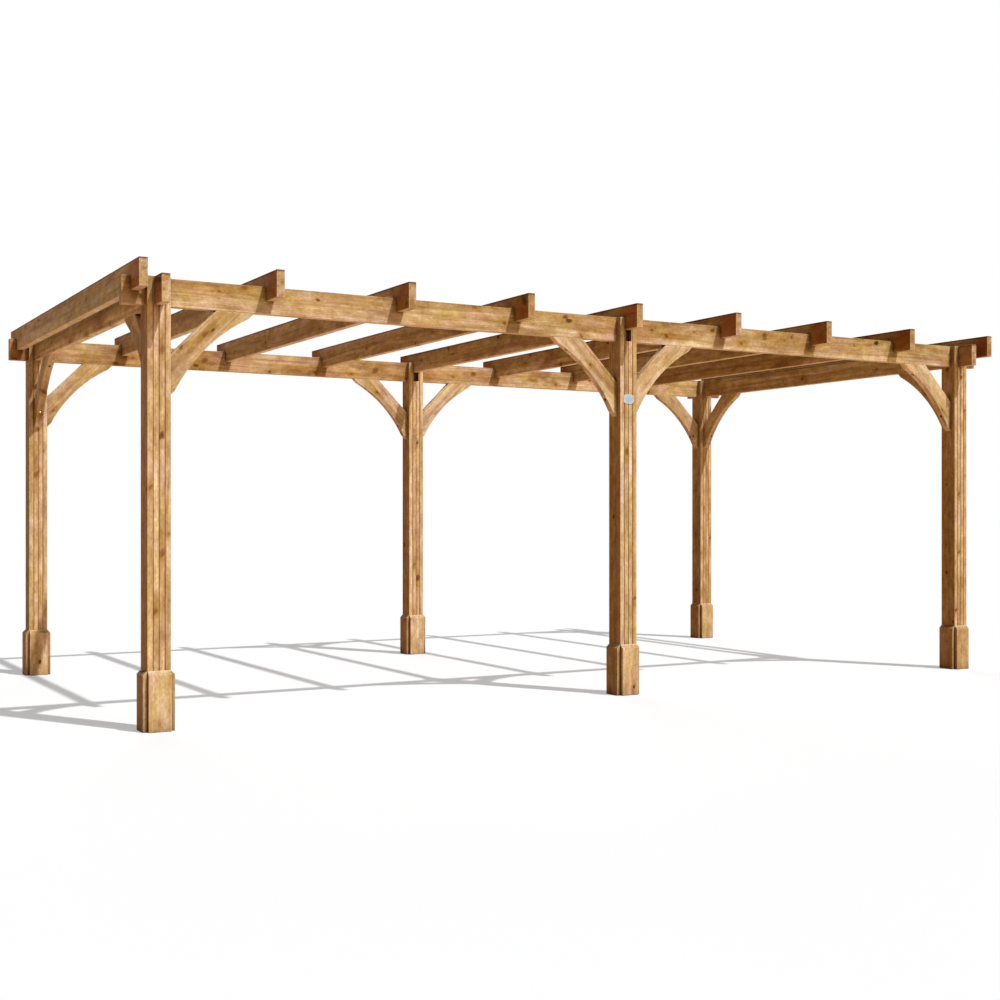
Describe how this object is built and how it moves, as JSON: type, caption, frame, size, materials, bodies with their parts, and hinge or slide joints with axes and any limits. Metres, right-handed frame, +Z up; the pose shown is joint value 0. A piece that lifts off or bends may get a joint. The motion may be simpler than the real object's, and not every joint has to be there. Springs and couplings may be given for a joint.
{
  "type": "timber pergola",
  "caption": "Free-standing open timber pergola with slotted laminated posts, crossing beams, half-lapped rafters and arched braces.",
  "frame": {"origin": "on the ground, at the centre of the roof's plan", "axes": "+X along the rows of posts, +Y from the front row to the back row, +Z up"},
  "size_m": [6.12, 3.24, 2.362],
  "materials": {
    "post_timber": "planed laminated pine, oiled golden brown",
    "foot_timber": "planed pine, oiled golden brown",
    "beam_timber": "planed pine with knots, oiled golden brown",
    "rafter_timber": "planed pine with knots, oiled golden brown",
    "brace_timber": "planed pine, oiled golden brown",
    "plate": "pale satin paint"
  },
  "bodies": {
    "root": {"post_front_left": "post_timber", "post_front_middle": "post_timber", "post_front_right": "post_timber", "post_back_left": "post_timber", "post_back_middle": "post_timber", "post_back_right": "post_timber", "foot_boards_front_left": "foot_timber", "foot_boards_front_middle": "foot_timber", "foot_boards_front_right": "foot_timber", "foot_boards_back_left": "foot_timber", "foot_boards_back_middle": "foot_timber", "foot_boards_back_right": "foot_timber", "beam_front_left": "beam_timber", "beam_front_right": "beam_timber", "beam_back_left": "beam_timber", "beam_back_right": "beam_timber", "end_beam_left": "beam_timber", "end_beam_right": "beam_timber", "rafter_1": "rafter_timber", "rafter_2": "rafter_timber", "rafter_3": "rafter_timber", "rafter_4": "rafter_timber", "rafter_5": "rafter_timber", "rafter_6": "rafter_timber", "rafter_7": "rafter_timber", "rafter_8": "rafter_timber", "rafter_9": "rafter_timber", "brace_front_1": "brace_timber", "brace_front_2": "brace_timber", "brace_front_3": "brace_timber", "brace_front_4": "brace_timber", "brace_back_1": "brace_timber", "brace_back_2": "brace_timber", "brace_back_3": "brace_timber", "brace_back_4": "brace_timber", "brace_left_front": "brace_timber", "brace_left_back": "brace_timber", "brace_right_front": "brace_timber", "brace_right_back": "brace_timber", "plate": "plate"}
  },
  "joints": []
}
